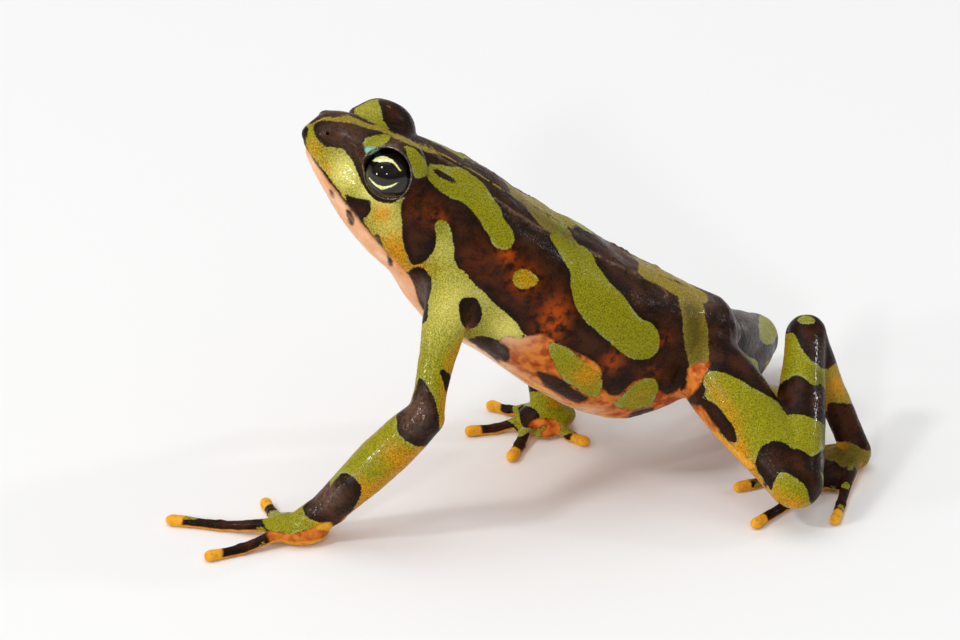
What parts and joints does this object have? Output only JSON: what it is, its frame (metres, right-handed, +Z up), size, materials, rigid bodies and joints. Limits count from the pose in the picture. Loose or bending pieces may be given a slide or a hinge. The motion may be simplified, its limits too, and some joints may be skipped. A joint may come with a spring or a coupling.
{
  "type": "variable harlequin frog",
  "caption": "Life-size variable harlequin frog standing still on all fours, front end raised, with long slender limbs, spread digits and a pointed snout.",
  "frame": {"origin": "middle of the bounding box's bottom face, on the floor under the chest and belly", "axes": "the snout points to -X, the left side faces -Y and +Z is up"},
  "size_m": [0.0582, 0.0341, 0.0344],
  "materials": {
    "skin": "moist, glossy skin in lime green with dark brown bands and orange-red patches",
    "digit": "moist skin, dark above with orange tips and undersides",
    "eye": "polished, wet black with a thin gold iris"
  },
  "bodies": {
    "root": {"head": "skin", "torso": "skin", "upper_arm_left": "skin", "forearm_left": "skin", "hand_left": "skin", "thigh_left": "skin", "shank_left": "skin", "tarsus_left": "skin", "foot_left": "skin", "upper_arm_right": "skin", "forearm_right": "skin", "hand_right": "skin", "thigh_right": "skin", "shank_right": "skin", "tarsus_right": "skin", "foot_right": "skin", "finger_left_1": "digit", "finger_left_2": "digit", "finger_left_3": "digit", "finger_left_4": "digit", "finger_right_1": "digit", "finger_right_2": "digit", "finger_right_3": "digit", "finger_right_4": "digit", "toe_left_1": "digit", "toe_left_2": "digit", "toe_left_3": "digit", "toe_left_4": "digit", "toe_left_5": "digit", "toe_right_1": "digit", "toe_right_2": "digit", "toe_right_3": "digit", "toe_right_4": "digit", "toe_right_5": "digit", "eye_left": "eye", "eye_right": "eye"}
  },
  "joints": []
}
